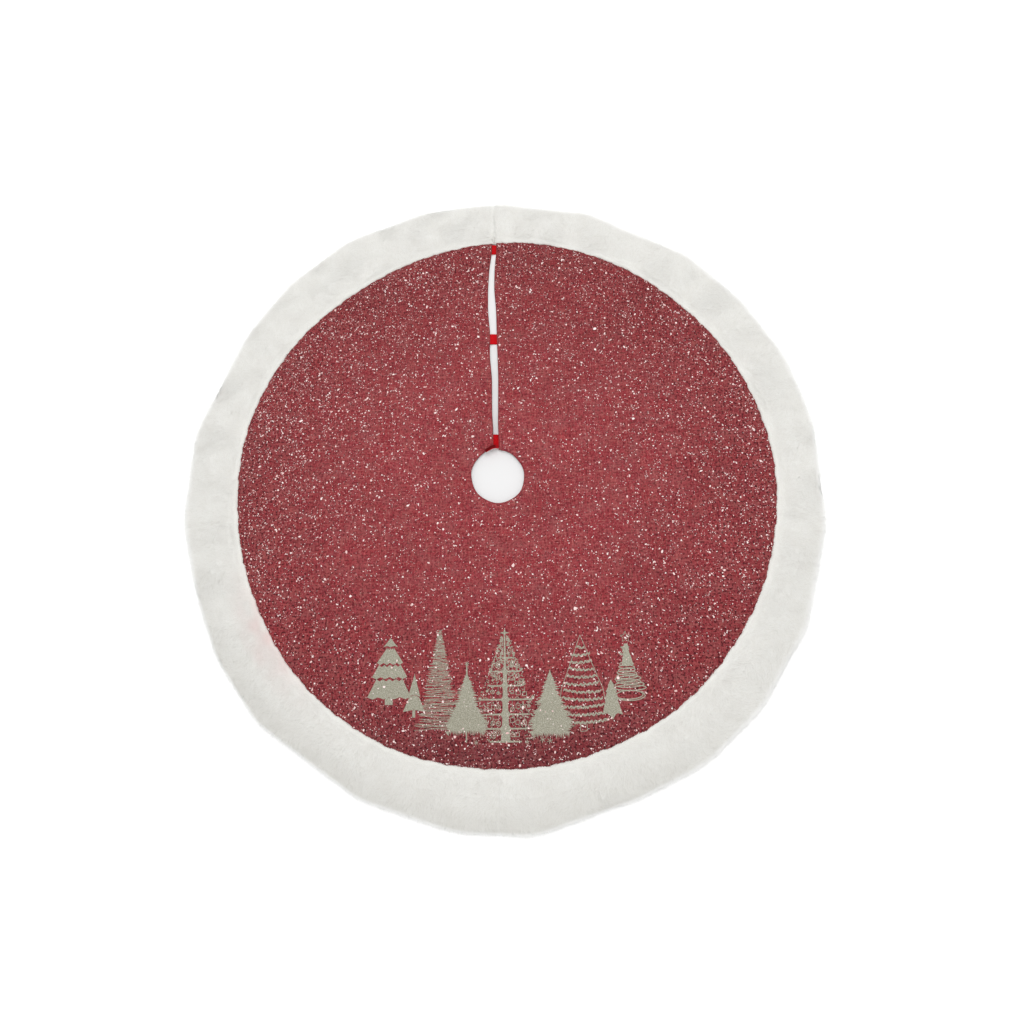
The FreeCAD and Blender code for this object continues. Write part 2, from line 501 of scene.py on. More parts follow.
def face_fabric():
    """Heathered red linen look: streaky threads, slubs, specks and pits, dusty in large patches, with painted
    light and shade: brighter in the middle, darker at the outer ring and the front edge.
    """
    s = Shader("face_fabric")
    height, mask = woven_height(s, THREAD_PITCH)
    warp_streaks = s.noise(520, 60, 3.0, (1, 2), 0.65)
    weft_streaks = s.noise(60, 520, 3.0, (5, 3), 0.65)
    warp = s.mix(s.ramp(warp_streaks, 0.32, 0.68), linear(100, 18, 28), linear(160, 50, 58))
    weft = s.mix(s.ramp(weft_streaks, 0.32, 0.68), linear(110, 24, 34), linear(170, 64, 70))
    colour = s.mix(mask, warp, weft)
    for along, across, shift in ((240, 40, 9), (40, 240, 2)):
        slubs = s.ramp(s.noise(along, across, 2.0, (shift, 4), 0.6), 0.56, 0.74)
        colour = s.over(colour, slubs, 0.42, linear(182, 98, 94))
    for along, across, shift in ((300, 50, 11), (50, 300, 13)):
        taupe = s.ramp(s.noise(along, across, 2.0, (shift, 2), 0.6), 0.6, 0.76)
        colour = s.over(colour, taupe, 0.3, linear(124, 92, 78))
    specks = s.ramp(s.noise(300, 300, 2.0, (4, 4), 0.6), 0.56, 0.72)
    colour = s.over(colour, specks, 0.45, linear(196, 114, 112))
    outwards = s.from_axis()
    y = s.flat_xy()[1]
    dusty = s.ramp(s.noise(26, 26, 3.0, (2, 5), 0.6), 0.45, 0.65, 0.0, 0.24)
    colour = s.mix(dusty, colour, linear(154, 84, 83))
    pits = s.ramp(s.noise(250, 250, 1.0, (8, 1), 0.5), 0.575, 0.65)
    colour = s.over(colour, pits, s.ramp(outwards, 0.06, 0.2, 0.5, 0.88), linear(70, 10, 18))
    # Painted light and shade: the cloth is made brighter near the middle and darker towards its outer ring
    # and along its front edge, and it is darker towards the back too. light carries these times a random
    # large-scale tone.
    painted_radial_shade = s.ramp(outwards, 0.02, 0.22, 1.09, 0.935)
    back = s.ramp(y, 0.15, 0.35, 1.0, 0.94)
    ends = s.times(s.ramp(y, -0.40, -0.49, 1.0, 0.75), back)
    light = s.ramp(s.noise(9, 9, 3.0, (6, 6)), 0.3, 0.7, 0.95, 1.05)
    light = s.times(light, s.times(painted_radial_shade, ends))
    paler = s.times(light, s.ramp(outwards, 0.03, 0.2, 1.14, 1.1))
    paler = s.times(paler, s.ramp(s.noise(34, 34, 2.0, (9, 3)), 0.35, 0.65, 0.92, 1.08))
    paler = s.times(s.times(paler, back), s.ramp(y, -0.38, -0.49, 1.0, 1.2))
    tint = s.add("CombineColor", None, _0=light, _1=paler, _2=paler).outputs[0]
    colour = s.mix(1.0, colour, tint, "MULTIPLY")
    relief = height
    for streaks in (warp_streaks, weft_streaks):
        relief = s.math("ADD", relief, s.times(streaks, 0.8))
    normal = s.bump(relief, 0.35 * MM, 0.8)
    s.put(s.surface.inputs["Specular IOR Level"], 0.25)
    return s.finish(colour, 0.92, normal, Sheen_Weight=0.04, Sheen_Roughness=0.5)


def fleck_paint():
    """White paint, from thin drops that let the red through to full ones."""
    s = Shader("fleck_paint")
    colour = s.mix(s.value("shade"), linear(214, 146, 142), linear(255, 239, 236))
    return s.finish(colour, 0.55, s.bump(s.noise(2200), 0.1 * MM, 0.4))


def glitter_print():
    """Sage print full of glitter: each grain has its own colour and gloss."""
    s = Shader("glitter_print")
    broken = s.ramp(s.noise(520, 520, 2.0, (1, 9)), 0.3, 0.72)
    colour = s.mix(broken, linear(132, 129, 112), linear(168, 165, 147))
    cells = s.cells(1300)
    grain = s.add("SeparateColor", None, _0=cells.outputs["Color"])
    colour = s.over(colour, s.ramp(grain.outputs[0], 0.8, 0.95), 0.55, linear(204, 203, 190))
    colour = s.over(colour, s.ramp(grain.outputs[1], 0.8, 1.0), 0.4, linear(118, 104, 92))
    rough = s.ramp(grain.outputs[2], 0, 1, 0.3, 0.65)
    return s.finish(colour, rough, s.bump(cells.outputs["Distance"], 0.12 * MM, 0.5), Metallic=0.15)


def plush_fur():
    """Off-white pile, paler at its tips, with the tones that border_strip gives to its points, among them
    painted shade along the front roll and painted light at the hem's edge.
    """
    s = Shader("plush_fur")
    colour = s.mix(s.ramp(s.value("tip"), 0.0, 0.8), linear(234, 233, 228), linear(247, 247, 244))
    colour = s.mix(s.ramp(s.value("shade"), 0, 1, 0.3, 0.0), colour, linear(235, 233, 227))
    mottle = s.ramp(s.noise(30, 30, 3.0), 0.35, 0.7, 0.0, 0.3)
    colour = s.mix(mottle, colour, linear(234, 232, 227))
    colour = s.over(colour, s.value("blush"), 0.5, linear(234, 198, 196))
    # Painted shade on the pile's roll along the front, then painted light that makes its edge at the hem
    # paler.
    colour = s.over(colour, s.value("grubby"), 0.27, linear(200, 198, 191))
    colour = s.over(colour, s.value("painted_hem_light"), 0.9, linear(255, 255, 254))
    return s.finish(colour, 0.95, None, Sheen_Weight=0.3, Sheen_Roughness=0.6)


def fur_backing():
    """The knitted back of the plush, seen where the hem turns under."""
    s = Shader("fur_backing")
    height, _ = woven_height(s, 1.1 * MM)
    mottle = s.ramp(s.noise(60, 60, 3.0), 0.3, 0.7)
    colour = s.mix(mottle, linear(214, 210, 202), linear(232, 229, 222))
    return s.finish(colour, 0.95, s.bump(height, 0.2 * MM, 0.6))


def lining_fabric():
    """Off-white non-woven cloth, spot-bonded in a grid of small dots."""
    s = Shader("lining_fabric")
    pressed = s.ramp(s.cells(430, Randomness=0.12).outputs["Distance"], 0.18, 0.32)
    fibres = s.noise(900, 160, 3.0)
    cloudy = s.noise(22, 22, 4.0)
    colour = s.mix(s.ramp(cloudy, 0.3, 0.7), linear(226, 225, 221), linear(234, 233, 229))
    colour = s.mix(s.ramp(fibres, 0.5, 0.8, 0.0, 0.4), colour, linear(244, 243, 240))
    colour = s.mix(s.ramp(pressed, 0.0, 1.0, 0.35, 0.0), colour, linear(196, 194, 188))
    relief = s.math("ADD", pressed, s.times(fibres, 0.7))
    return s.finish(colour, 0.85, s.bump(relief, 0.18 * MM, 0.7))


def wadding():
    """Loose white polyester wadding."""
    s = Shader("wadding")
    colour = s.mix(s.noise(140, 140, 4.0), linear(226, 226, 224), linear(246, 246, 244))
    return s.finish(colour, 0.95, s.bump(s.noise(300, 300, 4.0), 0.6 * MM, 0.8))


def tape(name, dark, light, pile):
    """Woven nylon tape: ribs across, a brushed or hooked field, and a painted highlight in brighter red where
    a piece's points carry one.
    """
    s = Shader(name)
    field = s.noise(1500, 1500, 2.0)
    ribs = s.math("SINE", s.times(s.flat_xy()[0], TURN / (0.9 * MM)))
    colour = s.mix(s.ramp(field, 0.3, 0.7), dark, light)
    colour = s.mix(s.ramp(ribs, -1, 1, 0.0, 0.25), colour, dark)
    # Painted highlight: brighter red where the curl's lower edge and its end would catch the light.
    colour = s.mix(s.value("painted_highlight"), colour, linear(206, 20, 32))
    relief = s.math("ADD", s.times(ribs, 0.5), s.times(field, pile))
    s.put(s.surface.inputs["Specular IOR Level"], 0.12)
    return s.finish(colour, 0.7, s.bump(relief, 0.25 * MM, 0.7))


def label_satin():
    """Smooth white satin ribbon with nothing printed on it."""
    s = Shader("label_satin")
    ribs = s.noise(2400, 120, 2.0)
    colour = s.mix(ribs, linear(228, 228, 226), linear(246, 246, 245))
    return s.finish(colour, 0.35, s.bump(ribs, 0.05 * MM, 0.5))


def sewing_thread(name, colour):
    """Twisted thread, darker between its strands."""
    s = Shader(name)
    darker = (*(0.8 * c for c in colour[:3]), 1)
    return s.finish(s.mix(s.noise(3000, 3000, 1.0), colour, darker), 0.6)


# ---------------------------------------------------------------- the printed flecks

FLECKS = 5900
DUST = 10400


def fleck_places(draw, count, solid):
    """Random places on the face, clear of the slit, the hole and the border's seam, few on solid print."""
    kept = np.zeros((0, 2))
    while len(kept) < count:
        x, y = draw.uniform(-FACE_RADIUS, FACE_RADIUS, (2, count))
        radius, bearing = np.hypot(x, y), np.arctan2(y, x)
        inside = (radius < seam_radius(bearing) - 1.5 * MM) & (edge_distance(x, y) > 1.5 * MM)
        inside &= radius > HOLE_RADIUS + 1.5 * MM
        clumped = 0.36 + 0.56 * (radius / FACE_RADIUS) ** 1.5 + 0.13 * ripple(x, y, 0.05, 31)
        clumped -= 0.1 * x / FACE_RADIUS
        clumped -= 0.2 * bell(x + 0.25, 0.18) * bell(y + 0.25, 0.18)
        clumped *= 1 - 0.3 * smooth_step(-y, 0.08, 0.34)
        clumped = draw.uniform(0, 1, count) < clumped
        front = np.flatnonzero(inside & clumped & (y < -0.28))
        places = np.stack([x[front], y[front]], -1) / MM
        for outline in solid:
            covered = inside_outline(places, outline, 0) & (draw.uniform(0, 1, len(front)) < 0.62)
            inside[front[covered]] = False
        kept = np.concatenate([kept, np.stack([x, y], -1)[inside & clumped]])
    return kept[:count]


def fleck_mesh(name, count, size, spread, seed, lift, material, solid):
    """Small domed drops of paint of uneven outline; spread is how much their size varies."""
    draw = np.random.default_rng(seed)
    places = fleck_places(draw, count, solid)
    size = size * np.exp(draw.normal(0, spread, count)) / 2
    stretch = draw.uniform(1.0, 1.9, count)
    heading = draw.uniform(0, TURN, count)
    sides = 7
    angle = np.arange(sides) / sides * TURN + draw.uniform(-0.25, 0.25, (count, sides))
    reach = size[:, None] * draw.uniform(0.6, 1.3, (count, sides))
    u = np.cos(angle) * reach * np.sqrt(stretch)[:, None]
    v = np.sin(angle) * reach / np.sqrt(stretch)[:, None]
    c, s = np.cos(heading)[:, None], np.sin(heading)[:, None]
    x = np.concatenate([places[:, :1], places[:, :1] + u * c - v * s], 1)
    y = np.concatenate([places[:, 1:], places[:, 1:] + u * s + v * c], 1)
    rise = np.full(x.shape, lift)
    rise[:, 0] += np.clip(size * 0.14, 0.06 * MM, 0.35 * MM)
    points = np.stack([x, y, face_height(x, y) + rise], -1).reshape(-1, 3)
    first = np.arange(count)[:, None, None] * (sides + 1)
    ring = np.arange(sides)
    fan = np.stack([np.zeros(sides, int), 1 + ring, 1 + (ring + 1) % sides], -1)[None]
    shade = np.repeat(draw.uniform(0.35, 1.0, count), sides + 1)
    return make_mesh(name, points, [(first + fan).reshape(-1, 3)], material, points[:, :2], {"shade": shade})


# ---------------------------------------------------------------- the printed trees

PRINT_LIFT, LIFT_STEP, LIFT_RANGE = 0.12 * MM, 0.004 * MM, 0.08 * MM


class Print:
    """Collects flat printed shapes, in millimetres on the cloth, and lays them on its relief, each a hair
    above the last so that shapes that overlap don't share a plane."""

    def __init__(self):
        self.points, self.triangles, self.solid = [], [], []
        self.lift = PRINT_LIFT

    def add(self, points, triangles):
        first = sum(len(p) for p in self.points)
        xy = np.asarray(points, float) * MM
        z = face_height(xy[:, 0], xy[:, 1]) + self.lift
        self.points.append(np.column_stack([xy, z]))
        self.triangles.append(np.asarray(triangles, int) + first)
        self.lift = PRINT_LIFT + (self.lift - PRINT_LIFT + LIFT_STEP) % LIFT_RANGE

    def area(self, outline, step=1.4):
        """A filled outline, with points inside it so that it follows the cloth."""
        outline = resample(np.asarray(outline, float), step, closed=True)
        self.solid.append(outline)
        low, high = outline.min(0), outline.max(0)
        gx, gy = np.meshgrid(np.arange(low[0], high[0], 5.0), np.arange(low[1], high[1], 5.0))
        inner = np.stack([gx.ravel(), gy.ravel()], -1)
        inner = inner[inside_outline(inner, outline, 1.2)]
        count = len(outline)
        edges = [(i, (i + 1) % count) for i in range(count)]
        places = [Vector(p) for p in np.concatenate([outline, inner])]
        found, _, faces, _, _, _ = delaunay_2d_cdt(places, edges, [], 1, 1e-5)
        self.add([tuple(p) for p in found], [tuple(f) for f in faces])

    def line(self, path, half_width, closed=False, step=2.5):
        """A drawn line; half_width may be one number or one for each point."""
        path = np.asarray(path, float)
        if closed:
            path = np.concatenate([path, path[:1]])
        along = np.concatenate([[0], np.cumsum(np.linalg.norm(np.diff(path, axis=0), axis=1))])
        steps = max(2, int(along[-1] / step) + 1)
        at = np.linspace(0, along[-1], steps)
        widths = np.interp(at, along, np.broadcast_to(half_width, len(path)))
        path = np.stack([np.interp(at, along, path[:, k]) for k in (0, 1)], -1)
        ahead = np.gradient(path, axis=0)
        ahead /= np.linalg.norm(ahead, axis=1)[:, None] + 1e-9
        side = np.stack([-ahead[:, 1], ahead[:, 0]], -1) * widths[:, None]
        points = np.stack([path + side, path - side], 1).reshape(-1, 2)
        a = np.arange(steps - 1)[:, None] * 2
        triangles = np.concatenate([a + np.array([[0, 1, 2]]), a + np.array([[1, 3, 2]])])
        self.add(points, triangles)

    def dot(self, centre, radius, stretch=1.0, heading=0.0):
        """A filled oval."""
        angle = np.arange(8) / 8 * TURN
        u, v = np.cos(angle) * radius * stretch, np.sin(angle) * radius
        c, s = math.cos(heading), math.sin(heading)
        ring = np.stack([centre[0] + u * c - v * s, centre[1] + u * s + v * c], -1)
        a = np.arange(8)
        self.add(np.concatenate([[centre], ring]), np.stack([0 * a, 1 + a, 1 + (a + 1) % 8], -1))

    def ring(self, centre, radius, half_width, stretch=1.0):
        """A drawn oval."""
        angle = np.linspace(0, TURN, 13)[:-1]
        x, y = centre[0] + np.cos(angle) * radius * stretch, centre[1] + np.sin(angle) * radius
        self.line(np.stack([x, y], -1), half_width, closed=True)

    def finish(self, name, material):
        """One mesh of every shape, with all its triangles facing up."""
        points = np.concatenate(self.points)
        triangles = np.concatenate(self.triangles)
        a, b, c = (points[triangles[:, k], :2] for k in range(3))
        turned = (b - a)[:, 0] * (c - a)[:, 1] - (b - a)[:, 1] * (c - a)[:, 0] < 0
        triangles[turned] = triangles[turned][:, ::-1]
        return make_mesh(name, points, [triangles], material, points[:, :2])


def resample(path, step, closed=False):
    """The same outline with no run longer than step."""
    out = []
    count = len(path)
    for i in range(count if closed else count - 1):
        a, b = path[i], path[(i + 1) % count]
        parts = max(1, int(math.ceil(np.linalg.norm(b - a) / step)))
        out += [a + (b - a) * k / parts for k in range(parts)]
    return np.array(out)


def inside_outline(points, outline, margin):
    """True for points inside a closed outline and at least margin from its corners."""
    x, y = points[:, 0], points[:, 1]
    x0, y0 = outline[:, 0], outline[:, 1]
    x1, y1 = np.roll(x0, -1), np.roll(y0, -1)
    crosses = (y0[None] > y[:, None]) != (y1[None] > y[:, None])
    rise = np.where(y1 == y0, 1e-9, y1 - y0)
    at = x0[None] + (y[:, None] - y0[None]) * ((x1 - x0) / rise)[None]
    inside = (crosses & (x[:, None] < at)).sum(1) % 2 == 1
    near = np.hypot(x[:, None] - x0[None], y[:, None] - y0[None]).min(1)
    return inside & (near > margin)


def moved(shape, x, y):
    """A shape's points, carried to a place on the cloth."""
    return [(x + u, y + v) for u, v in shape]


def needle_fir(ink, x, base, height, profile, needle, draw):
    """A solid fir whose edge is all short drooping needles. The profile is drop from the top, half width."""
    drops, widths = zip(*profile)
    sides = []
    for side in (-1, 1):
        run = []
        drop = 1.5
        while drop < drops[-1]:
            reach = np.interp(drop, drops, widths)
            size = min(1, reach / 14) * needle
            run.append((side * max(0.3, reach - size * draw.uniform(0.3, 0.7)), height - drop))
            out = side * (reach + size * draw.uniform(0.0, 0.75))
            run.append((out, height - drop - draw.uniform(1.0, 3.6)))
            drop += draw.uniform(2.6, 4.4)
        sides.append(run)
    foot = []
    u = widths[-1]
    while u > -widths[-1]:
        foot.append((u, draw.uniform(0.5, 2.5)))
        foot.append((u - 1.3, -draw.uniform(0.4, 1.0) * needle))
        u -= draw.uniform(2.4, 3.4)
    ink.area(moved(sides[1] + foot + sides[0][::-1] + [(0, height + 2)], x, base))


def stub_fir(ink, x, base):
    """A small solid fir with pointed feet."""
    half = [
        (0, 53), (5.5, 43), (4.5, 42), (9.5, 33), (7.5, 32), (12, 21), (10, 19.5), (13.5, 8),
        (17, -4), (9, -1.5), (5, -4), (0, -12),
    ]
    ink.area(moved(half + [(-u, v) for u, v in half[-2:0:-1]], x, base))


def tiered_tree(ink, x, base, tiers, trunk):
    """Solid tiers parted by wavy gaps. A tier is its bottom, its top, and its half width at each."""
    for low, high, wide, narrow, waves in tiers:
        shares = np.linspace(-1, 1, 4 * waves + 1)
        bottom, top = (
            [(half * k, level + 1.8 * math.cos(k * waves * math.pi)) for k in shares]
            for half, level in ((wide, low), (narrow, high)))
        ink.area(moved(bottom + top[::-1], x, base))
    half, foot = trunk
    ink.area(moved([(-half, foot), (half, foot), (half, 1), (-half, 1)], x, base))


def scribble_tree(ink, x, base, height, half_width, draw):
    """Pen lines going to and fro, wider at each pass, close together at the top."""
    for thick, gap in ((0.32, 1.9), (0.28, 2.5), (0.24, 2.9)):
        path = []
        v = height - 8
        side = 1
        while v > 0:
            share = 1 - v / height
            reach = half_width * share ** 0.85 + 1.2
            end = side * reach * draw.uniform(0.72, 1.08)
            drop = draw.uniform(-0.6, 3.4) * (0.5 + share)
            start, high = (path[-1][0] - x, path[-1][1] - base) if path else (-end, v)
            bow = draw.uniform(-1.6, 1.2) * share
            for k in range(1, 13):
                t = k / 12
                sway = bow * math.sin(math.pi * t) + 0.5 * math.sin(9 * t + v) + draw.uniform(-0.3, 0.3)
                rise = high + (v - drop - high) * t + sway
                path.append((x + start + (end - start) * t, base + rise))
            v -= draw.uniform(0.8, 1.3) * gap * (0.6 + 0.8 * share)
            side = -side
        ink.line(path, thick, step=2.0)
    for k in range(9):
        place = (x + draw.uniform(-3.5, 3.5), base + height - draw.uniform(0, 14))
        ink.ring(place, draw.uniform(1.3, 2.4), 0.36, draw.uniform(0.8, 1.5))


def star_outline(x, y, size, spikes=5, inner=0.42):
    """A star's corners; inner is how near its inner corners are, as a share of its size."""
    points = []
    for k in range(2 * spikes):
        reach = size if k % 2 == 0 else size * inner
        angle = math.pi / 2 + k * math.pi / spikes
        points.append((x + reach * math.cos(angle), y + reach * math.sin(angle)))
    return points


def snowflake(ink, x, y, size):
    """Three crossed lines."""
    for k in range(3):
        angle = k * math.pi / 3 + 0.3
        u, v = size * math.cos(angle), size * math.sin(angle)
        ink.line([(x - u, y - v), (x + u, y + v)], 0.45)


# The central tree's branches: height above its foot, reach to the left and right, how wide the joint flares
BRANCHES = [
    (1, 27, 27, 3), (21.5, 45, 42, 7.5), (44.5, 37, 41, 7.5), (68.5, 42, 46, 7), (91, 28, 29, 6),
    (114.5, 20, 26, 5), (137.5, 3, 17, 3),
]


def branch_tree(ink, x, base, height, draw):
    """A trunk with level branches that flare where they join it, hung with leaves, rings and squares."""
    up = np.arange(0, height - 12, 0.8)
    half = np.interp(up, [0, 12, 30, 50, 80, 110, 125, height], [8, 7.5, 5.5, 5, 4, 3.4, 2.0, 1.0])
    for level, _, _, flare in BRANCHES:
        t = np.clip(1 - np.abs(up - level) / flare, 0, 1)
        half = np.maximum(half, half + flare * (1 - np.sqrt(1 - t ** 2)))
    side = list(zip(half, up))
    ink.area(moved(side + [(-w, v) for w, v in side[::-1]], x, base))
    ink.area(star_outline(x, base + height - 9, 8.5, 4, 0.3))
    for level, left, right, _ in BRANCHES:
        branch = [(-left, level), (-3, level), (3, level), (right, level)]
        ink.line(moved(branch, x, base), [1.1, 1.5, 1.5, 1.1])
    for u, v in ((47, 72), (-43, 70), (28, 118), (-24, 116), (31, 94)):
        ink.area(star_outline(x + u, base + v, 4.6, 6, 0.4))
    for level, left, right, _ in BRANCHES[:-1]:
        for side, reach in ((-1, left), (1, right)):
            hang_ornaments(ink, x, base + level, side, min(reach, 40), draw)
    scatter_leaves(ink, x, base, height, draw)


def scatter_leaves(ink, x, base, height, draw):
    """Fine leaves that fill the outline of the tree, thickly at the top and its sides."""
    count = 0
    while count < 760:
        v = draw.uniform(2, height - 14)
        reach = np.interp(v, [0, 30, 70, 100, height - 12], [38, 44, 42, 31, 5])
        u = draw.uniform(-1.08, 1.08) * reach
        share = abs(u) / reach
        keep = 1.0 if v > 96 else 0.14 + 0.6 * share ** 2
        if abs(u) < 3 or draw.uniform() > keep:
            continue
        ink.dot((x + u, base + v), draw.uniform(0.5, 0.85), draw.uniform(1.4, 3.2), draw.uniform(0, math.pi))
        count += 1


def hang_ornaments(ink, x, level, side, reach, draw):
    """What fills the space above one half of a branch."""
    u = 12.0
    while u < reach:
        kind = draw.integers(0, 4)
        place = (x + side * u, level + draw.uniform(8, 14))
        size = draw.uniform(2.6, 3.8)
        if kind < 2:
            ink.ring(place, size, 0.6)
            ink.dot(place, 1.2)
        elif kind == 2:
            ink.dot(place, 0.7 * size)
        else:
            square = [(-size, -size), (size, -size), (size, size), (-size, size)]
            ink.line(moved(square, *place), 0.5, closed=True)
        ink.line([(place[0], place[1] + size), (place[0], level + 21)], 0.3)
        u += draw.uniform(8, 11)


def garland_tree(ink, x, base, height, half_width, draw):
    """An outline with leafy garlands slung across it, and a drawn trunk."""
    for side in (-1, 1):
        edge = ((0, 1), (0.48, 0.65), (0.88, 0.37), (1, 0.14))
        ink.line([(x + side * half_width * u, base + height * v) for u, v in edge], 0.5)
    for k, row in enumerate(np.linspace(height * 0.86, 2, 11)):
        reach = 7 if k == 0 else half_width * (1 - row / height) ** 0.8 + 3.5
        sag = 1.2 + reach * 0.07
        tilt = draw.uniform(-1.6, 1.6)
        for spacing, half_width_of_line in ((3.6, 0.95), (2.3, 0.5)):
            points = max(3, int(2 * reach / spacing))
            path = []
            for n in range(points + 1):
                t = -1 + 2 * (n + draw.uniform(-0.25, 0.25)) / points
                leaf = (1 if n % 2 else -1) * draw.uniform(1.5, 2.7)
                path.append((x + reach * t, base + row - sag * (1 - t * t) + tilt * t + leaf))
            ink.line(path, half_width_of_line, step=0.9)
    ink.line(moved([(-5, -1), (-5.5, -16), (6, -15), (5.5, -1)], x, base), 0.5)


# The loops of ribbon: height above the foot, half width, shift to the right, half height
LOOPS = [
    (60, 12, -1, 3), (55, 13.5, -1, 3), (50, 14.5, -1, 3.4), (45, 17, -1, 3.4), (40, 18, -1, 4),
    (36, 22, 0, 4.2), (31, 21, 1, 4), (26, 25, 2, 4.2), (21, 27, 3, 4.4), (8.5, 25, 2, 8.2),
    (9.5, 23, 1, 7.0),
]


def coiled_tree(ink, x, base, height, draw):
    """A solid top that opens into loops of ribbon, leaning right as they widen, with a drawn star above."""
    ink.line(star_outline(x, base + height + 11, 10), 0.4, closed=True)
    ink.area(star_outline(x - 2, base + height - 8, 8.5, 5, 0.5))
    knot = [(-8, 0.84), (-14, 0.83), (-10, 0.8), (-4, 0.8)]
    top = [(-3, 1.0), (3, 1.0), (5, 0.84), (8, 0.74), (10.5, 0.62), (-9, 0.62), (-7, 0.74), (-5, 0.84)]
    for shape in (knot, top):
        ink.area(moved([(u, height * v) for u, v in shape], x, base))
    angle = np.linspace(0, TURN, 31)[:-1]
    for level, reach, shift, tall in LOOPS:
        tilt = draw.uniform(-0.08, 0.08)
        out, up = reach * np.cos(angle), tall * np.sin(angle)
        ink.line(np.stack([x + shift + out, base + level + up + tilt * out], -1), 0.8, closed=True)


# The two large firs: drop from the top, half width
SPIRE_FIR = [(0, 0.5), (12, 6), (26, 12), (48, 18), (60, 23), (68, 28), (80, 34), (88, 36), (96, 31)]
STEPPED_FIR = [
    (0, 0.5), (9, 4), (27, 12), (36, 14), (50, 21.5), (57, 20), (66, 29), (74, 30), (80, 36), (92, 35),
    (100, 30),
]

# The left tiered tree: bottom, top, half width at each and waves of each tier, then the ruffle at its top
BROAD_TIERS = [(0, 30, 38, 23, 4), (33.5, 54, 31, 19, 4), (57.5, 83, 23, 6, 4)]
RUFFLE = [(-13, 86), (-7, 88), (0, 86.5), (7, 88), (13, 86), (6, 94), (1, 101), (-1, 101), (-6, 94)]
NARROW_TIERS = [(0, 24, 19, 8.5, 1), (24.6, 60, 10.5, 0.7, 1)]

# Snowflakes at the trees' feet: x, y, half size
SNOWFLAKES = [(66, -409, 6), (57, -462, 5), (72, -466, 5), (-40, -470, 4), (46, -470, 4), (84, -468, 5)]


def printed_trees(material):
    """The nine trees from their places on the cloth; also gives the outlines of the solid shapes."""
    ink = Print()
    draw = np.random.default_rng(77)
    scribble_tree(ink, -104, -449, 165, 40, draw)
    branch_tree(ink, 10, -470, 189, draw)
    garland_tree(ink, 141, -438, 142, 40, draw)
    coiled_tree(ink, 219, -406, 94, draw)
    tiered_tree(ink, -191, -397, BROAD_TIERS, (6.8, -11))
    ink.area(moved(RUFFLE, -191, -397))
    tiered_tree(ink, -147, -418, NARROW_TIERS, (2.6, -11))
    needle_fir(ink, -56, -452, 96, SPIRE_FIR, 9.0, draw)
    ink.line([(-56, -366), (-56, -338)], [1.8, 0.7])
    snowflake(ink, -56, -342, 4)
    ink.line([(-56, -448), (-56.5, -470)], 1.1)
    needle_fir(ink, 87, -457, 103, STEPPED_FIR, 10.0, draw)
    stub_fir(ink, 190, -424)
    for flake in SNOWFLAKES:
        snowflake(ink, *flake)
    return ink.finish("printed_trees", material), ink.solid


# ---------------------------------------------------------------- the plush border

TUFTS_PER_SQUARE_METRE = 620000
TUFT_LENGTH = 7.0 * MM
TUFT_HALF_WIDTH = 0.52 * MM
TUFT_SOFTNESS = 0.72            # how far a tuft is shaded like the skin under it
SEAM_FOOT = 4.4 * MM            # the skin's height at the seam and at the hem
HEM_FOOT = 1.0 * MM
HEM_INSET = 7.0 * MM            # how far the skin stops short of the hem that the tufts reach
BORDER_MIDDLE = 0.56
BORDER_COLUMN = 3.5 * MM
SLIT_BEARINGS = (90, 450)

# Rows across the border, in millimetres from its seam and from its hem
FROM_SEAM = [0, 0.25, 0.8, 1.6, 2.8, 4.2, 6, 8.5, 11, 14, 18, 23, 30, 40]
FROM_HEM = [40, 31, 24, 18.5, 14, 10.5, 7.8, 5.5, 3.7, 2.3, 1.2, 0.5, 0.12, 0]

# Soft dents in the pile: bearing and radius of the two ends in degrees and millimetres, depth in millimetres
DENTS = [
    (172, 520, 166, 600, 1.5), (160, 530, 163, 590, 1.2), (183, 525, 187, 600, 1.6),
    (196, 520, 201, 585, 1.2), (205, 540, 211, 600, 1.3), (226, 530, 221, 600, 1.1),
    (243, 540, 247, 605, 1.1), (255, 530, 252, 590, 1.0), (284, 525, 287, 600, 1.5),
    (291, 540, 288, 606, 1.2), (303, 520, 306, 600, 1.0), (322, 530, 318, 600, 1.1),
    (340, 525, 344, 590, 1.4), (352, 540, 349, 595, 1.2), (8, 525, 5, 590, 1.1),
    (22, 530, 26, 590, 1.0), (47, 530, 44, 590, 0.9), (63, 540, 66, 596, 0.9),
    (108, 530, 106, 600, 1.2), (121, 530, 125, 610, 1.3), (137, 525, 133, 600, 1.2),
    (149, 530, 152, 595, 1.0),
]


def on_bearing(degrees, radius):
    """A place on the cloth from its bearing and its radius in millimetres."""
    angle = math.radians(degrees)
    return radius * MM * math.cos(angle), radius * MM * math.sin(angle)


def dents(x, y):
    """How deep the dents sink: each is a wavy trough with a low swell on both sides."""
    total = np.zeros(x.shape)
    for bearing_a, radius_a, bearing_b, radius_b, depth in DENTS:
        t, across = beside_line(x, y, on_bearing(bearing_a, radius_a), on_bearing(bearing_b, radius_b))
        across = across + 5 * MM * np.sin(4 * t + bearing_a)
        fade = smooth_step(t, -0.35, 0.3) * smooth_step(-t, -1.3, -0.7)
        total += depth * MM * fade * (bell(across, 6 * MM) - 0.4 * bell(across, 16 * MM))
    return 0.75 * total


